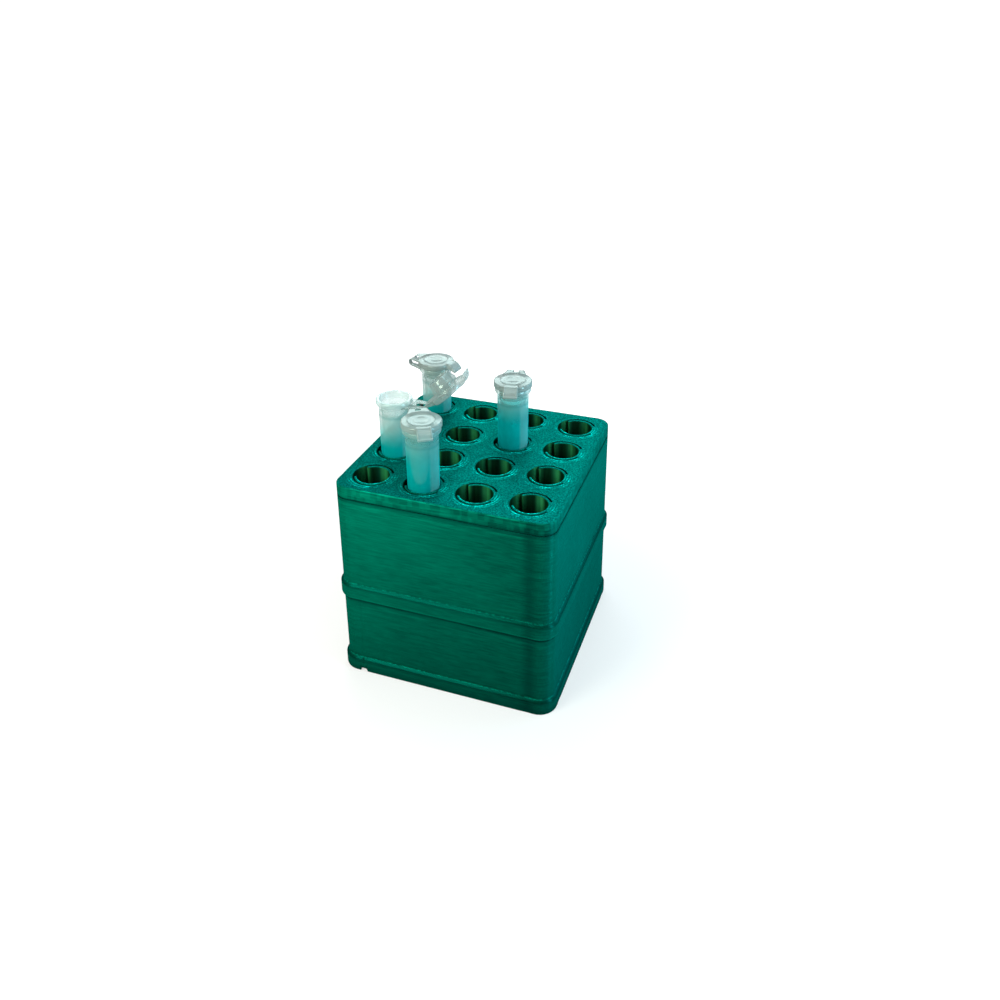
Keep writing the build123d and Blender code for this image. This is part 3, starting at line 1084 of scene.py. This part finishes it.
def polypropylene(name, axis, rim, green, milk, milk_colour):
    """Thin moulded polypropylene: see-through, with milk in it that thickens where the wall is seen edge-on.
    Low down, painted green stands for the rack's light in it, and a painted reflection of a pale card
    lightens its outer faces. Its neck is clearer, and a darker ring runs below that."""
    nodes = Nodes(name)
    place = nodes.add("TexCoord", {}, "Object")
    height = nodes.parts(place)[2]
    card_reflection = painted_card_reflection(nodes, place, axis)
    ring = nodes.near(height, rim - RING_DEPTH * MM, 1.2 * MM)
    neck = nodes.near(height, rim - NECK_DEPTH * MM, 2.2 * MM)

    # The painted green goes by height in the room, so it stays near the rack when a cap opens.
    height_now = nodes.parts(nodes.add("NewGeometry", {}, "Position"))[2]
    rise = nodes.ramp(height_now, *[(DECK_Z + reach) * MM for reach in green])
    milk_tint = nodes.mix_colour(rise, PAINTED_GREEN_MILK, milk_colour)
    milk_tint = nodes.mix_colour(card_reflection * 0.35, milk_tint, milk_colour)
    milk_tint = nodes.mix_colour(ring * 0.55, milk_tint, RING_GREEN)

    wave = nodes.noise(place, 170.0)
    bent = nodes.bump(wave, 0.08)
    edge = nodes.add("LayerWeight", {"Blend": 0.5, "Normal": bent}, "Facing") ** 3.0
    face_on, edge_on = milk
    share = (edge * (edge_on - face_on) + face_on + card_reflection * 0.1 + ring * 0.15) * (1.0 - neck * 0.45)
    share = share * nodes.ramp(height, DECK_Z * MM, (DECK_Z + 12.0) * MM, 1.1, 1.0)
    share = nodes.math("MULTIPLY", share, nodes.ramp(wave, 0.3, 0.7, 0.92, 1.08), use_clamp=True)

    clear = nodes.add("BsdfTransparent", {"Color": nodes.mix_colour(rise, PAINTED_GREEN_TINT, CLEAR_TINT)})
    through = nodes.add("BsdfTranslucent", {"Color": milk_tint, "Normal": bent})
    back = nodes.add("BsdfDiffuse", {"Color": milk_tint, "Normal": bent})
    body = nodes.mix_shader(share, clear, nodes.mix_shader(0.4, back, through))
    gloss = nodes.add("BsdfGlossy", {"Color": GLINT, "Roughness": 0.16, "Normal": bent})
    return nodes.finish(nodes.mix_shader(edge * 0.2 + 0.06, body, gloss))


def floor_white():
    """A plain pale floor with the faintest mottling. It glows a little, more so far out, to stay white."""
    nodes = Nodes("floor_white")
    place = nodes.add("TexCoord", {}, "Object")
    colour = nodes.mix_colour(nodes.noise(place, 3.0), *FLOOR_GREYS)
    surface = nodes.add("BsdfDiffuse", {"Color": colour})
    glow = nodes.ramp(nodes.vector("LENGTH", place, output="Value"), *GLOW_REACH, *FLOOR_GLOW)
    seen = nodes.add("LightPath", {}, "Is Camera Ray")
    light = nodes.add("Emission", {"Strength": seen * glow})
    return nodes.finish(nodes.add("AddShader", {0: surface, 1: light}))


# ---- the object ----


def build_printed_units():
    """The cover and the rack."""
    wander = random.Random(7)
    units = (
        ("storage_cover", "cover", storage_cover, 0.0, COVER_TOP_Z, False),
        ("tube_rack", "rack", tube_rack, RACK_LOW, DECK_Z, True),
    )
    for node, body, build, low, high, sockets in units:
        piece = build(wander).make(node + "_print")
        settle(piece, PRINTED_SHARP, printed_green(low, high, sockets), body, node)


def build_wall(name, place, plastic):
    """A tube's body."""
    wall = lathe(tube_profile()).make(f"{name}_tube_wall", place)
    settle(wall, MOULDED_SHARP, plastic, f"{name}_tube_body", f"{name}_tube")


def build_cap(name, place, plastic):
    """A tube's cap, with its plug and its thumb tab."""
    top = CAP_LOW + CAP_THICKNESS
    disc = lathe(cap_disc_profile(top) + plug_profile(top)).make(f"{name}_cap_moulding", place)
    cap = joined(disc, [bar.make("bar", place) for bar in tab_bars()])
    settle(cap, MOULDED_SHARP, plastic, f"{name}_cap_body", f"{name}_cap")


def build_hinge(name, place, plastic, fold_x, fold_z, opening):
    """A tube's living hinge, shaped with its fold between where it leaves the tube and where it meets the
    cap.
    """
    if opening:
        radius = OPEN_FOLD_RADIUS
        cap_root = OPEN_CAP_ROOT
    else:
        radius = SHUT_FOLD_RADIUS
        cap_root = SHUT_CAP_ROOT
    path = hinge_path(fold_x, fold_z, radius, opening)
    hinge = hinge_piece(path, cap_root).make(f"{name}_living_hinge", place)
    shade(hinge, MOULDED_SHARP)
    paint(hinge, plastic)
    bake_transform(hinge)
    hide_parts(f"{name}_tube_strap", f"{name}_cap_strap")


def build_tube(name, joint):
    """One tube, its cap and its living hinge, where the frame has them and their joint."""
    low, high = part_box(f"{name}_tube")
    centre = (low + high) / 2
    fold = Vector(joint["pos_m"])
    out = Vector((fold.x - centre.x, fold.y - centre.y, 0)) / MM
    fold_x = out.length
    fold_z = (fold.z - high.z) / MM
    opening = -joint["range_deg"][0]
    spot = (centre, high.z, PAINTED_GREEN_REACH[name])
    clear = polypropylene("clear_polypropylene", *spot, TUBE_MILK, TUBE_MILK_COLOUR)
    cap_milk = OPEN_CAP_MILK if opening else SHUT_CAP_MILK
    milky = polypropylene("cap_polypropylene", *spot, cap_milk, CAP_MILK_COLOUR)
    place = Matrix.Translation(Vector((centre.x, centre.y, high.z)) / MM)
    place = place @ Matrix.Rotation(math.atan2(out.y, out.x), 4, "Z")
    line = Matrix.Translation((fold_x, 0, fold_z))
    swing = place @ line @ Matrix.Rotation(math.radians(opening), 4, "Y") @ line.inverted()
    build_wall(name, place, clear)
    build_cap(name, swing, milky)
    build_hinge(name, place, milky, fold_x, fold_z, opening)


def build_tubes():
    """The four tubes, one for each cap hinge in the frame."""
    ending = "_cap_hinge"
    for joint in frame["joints"]:
        if joint["name"].endswith(ending):
            build_tube(joint["name"].removesuffix(ending), joint)


# ---- floor, light and camera ----


def build_floor():
    """A wide flat floor under the rack."""
    mesh = bpy.data.meshes.new("floor")
    side = FLOOR_HALF_WIDTH
    corners = [(-side, -side, 0), (side, -side, 0), (side, side, 0), (-side, side, 0)]
    mesh.from_pydata(corners, [], [(0, 1, 2, 3)])
    floor = bpy.data.objects.new("floor", mesh)
    bpy.context.scene.collection.objects.link(floor)
    mesh.materials.append(floor_white())


def area_light(name, azimuth, elevation, distance, size, power, colour):
    """A soft light round the rack's middle, at a heading from +X and a height in degrees."""
    data = bpy.data.lights.new(name, "AREA")
    data.shape = "RECTANGLE"
    data.size, data.size_y = size
    data.energy = power
    data.color = colour
    light = bpy.data.objects.new(name, data)
    bpy.context.scene.collection.objects.link(light)
    turn, rise = math.radians(azimuth), math.radians(elevation)
    away = Vector((math.cos(turn) * math.cos(rise), math.sin(turn) * math.cos(rise), math.sin(rise)))
    light.location = Vector((0, 0, DECK_Z * MM / 2)) + distance * away
    light.rotation_euler = away.to_track_quat("Z", "Y").to_euler()


def build_lights():
    """Soft boxes round the rack: heading, height, distance, size, power and colour of each."""
    area_light("key", -116, 32, 0.27, (0.12, 0.12), 0.55, WARM)
    area_light("strip", -12, 14, 0.3, (0.08, 0.3), 0.75, COOL)
    area_light("side", 35, 24, 0.42, (0.25, 0.25), 0.68, BLUE)
    area_light("back", 111, 36, 0.42, (0.3, 0.2), 0.9, WHITE)
    area_light("top", 0, 90, 0.5, (0.4, 0.4), 1.1, WHITE)


def build_surround():
    """An even pale surround, which the camera sees brighter than the light it gives."""
    world = bpy.data.worlds.new("surround")
    bpy.context.scene.world = world
    world.use_nodes = True
    tree = world.node_tree
    seen = tree.nodes.new("ShaderNodeLightPath")
    strength = tree.nodes.new("ShaderNodeMapRange")
    strength.inputs["To Min"].default_value = SURROUND_LIGHT
    strength.inputs["To Max"].default_value = SURROUND_SEEN
    background = tree.nodes["Background"]
    background.inputs["Color"].default_value = SURROUND_COLOUR
    tree.links.new(seen.outputs["Is Camera Ray"], strength.inputs["Value"])
    tree.links.new(strength.outputs["Result"], background.inputs["Strength"])


def shift_at_home(camera, channel, shift, home):
    """Shifts the lens while the camera stands at its own place, and not when it is moved for another view."""
    driver = camera.data.driver_add(channel).driver
    terms = []
    for letter, value in zip("xyz", home):
        variable = driver.variables.new()
        variable.name = letter
        variable.type = "TRANSFORMS"
        variable.targets[0].id = camera
        variable.targets[0].transform_type = "LOC_" + letter.upper()
        terms.append(f"abs({letter} - {value:.5f})")
    driver.expression = f"{shift} if {' + '.join(terms)} < 0.001 else 0"


def build_camera():
    """A camera in front of the rack, a little to its right and above it, with its lens shifted."""
    data = bpy.data.cameras.new("camera")
    camera = bpy.data.objects.new("camera", data)
    bpy.context.scene.collection.objects.link(camera)
    bpy.context.scene.camera = camera
    data.lens = CAMERA_LENS
    data.clip_start = 0.01
    camera.location = CAMERA_PLACE
    yaw = Matrix.Rotation(math.radians(CAMERA_YAW), 4, "Z")
    tilt = Matrix.Rotation(math.radians(90 - CAMERA_DOWN), 4, "X")
    roll = Matrix.Rotation(math.radians(CAMERA_ROLL), 4, "Z")
    camera.rotation_euler = (yaw @ tilt @ roll).to_euler()
    for axis, shift in CAMERA_SHIFT.items():
        shift_at_home(camera, f"shift_{axis}", shift, CAMERA_PLACE)


def main():
    """Builds the object, the floor, the lights and the camera."""
    build_printed_units()
    build_tubes()
    build_floor()
    build_lights()
    build_surround()
    build_camera()
    bpy.context.scene.view_settings.view_transform = "Standard"


main()
